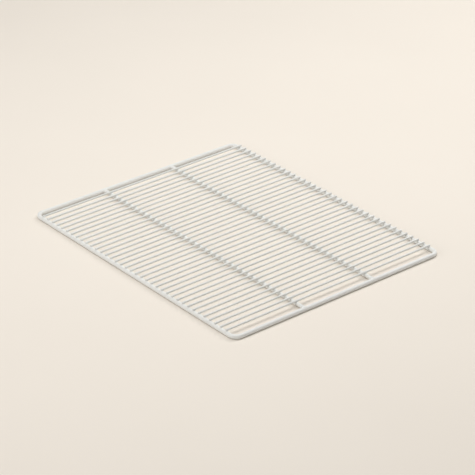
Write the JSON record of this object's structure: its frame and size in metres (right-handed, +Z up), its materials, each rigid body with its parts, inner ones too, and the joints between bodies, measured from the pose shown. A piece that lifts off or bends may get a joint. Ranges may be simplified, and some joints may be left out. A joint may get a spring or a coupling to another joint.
{
  "type": "refrigerator wire shelf",
  "caption": "Flat rectangular refrigerator shelf of white plastic-coated steel wire: a bent perimeter rod with rounded corners, cross rods under it and welded deck wires on top.",
  "frame": {"origin": "on the surface that the shelf lies on, under the middle of its outline", "axes": "+X along the deck wires, +Y along the long sides towards the back, +Z up through the deck"},
  "size_m": [0.53, 0.65, 0.0134],
  "materials": {
    "coating": "smooth white plastic coating with a soft gloss"
  },
  "bodies": {
    "root": {"frame_rod": "coating", "cross_rod_left": "coating", "cross_rod_right": "coating", "deck_wire_01": "coating", "deck_wire_02": "coating", "deck_wire_03": "coating", "deck_wire_04": "coating", "deck_wire_05": "coating", "deck_wire_06": "coating", "deck_wire_07": "coating", "deck_wire_08": "coating", "deck_wire_09": "coating", "deck_wire_10": "coating", "deck_wire_11": "coating", "deck_wire_12": "coating", "deck_wire_13": "coating", "deck_wire_14": "coating", "deck_wire_15": "coating", "deck_wire_16": "coating", "deck_wire_17": "coating", "deck_wire_18": "coating", "deck_wire_19": "coating", "deck_wire_20": "coating", "deck_wire_21": "coating", "deck_wire_22": "coating", "deck_wire_23": "coating", "deck_wire_24": "coating", "deck_wire_25": "coating", "deck_wire_26": "coating", "deck_wire_27": "coating", "deck_wire_28": "coating", "deck_wire_29": "coating", "deck_wire_30": "coating", "deck_wire_31": "coating", "deck_wire_32": "coating", "deck_wire_33": "coating", "deck_wire_34": "coating", "deck_wire_35": "coating", "deck_wire_36": "coating", "deck_wire_37": "coating"}
  },
  "joints": []
}
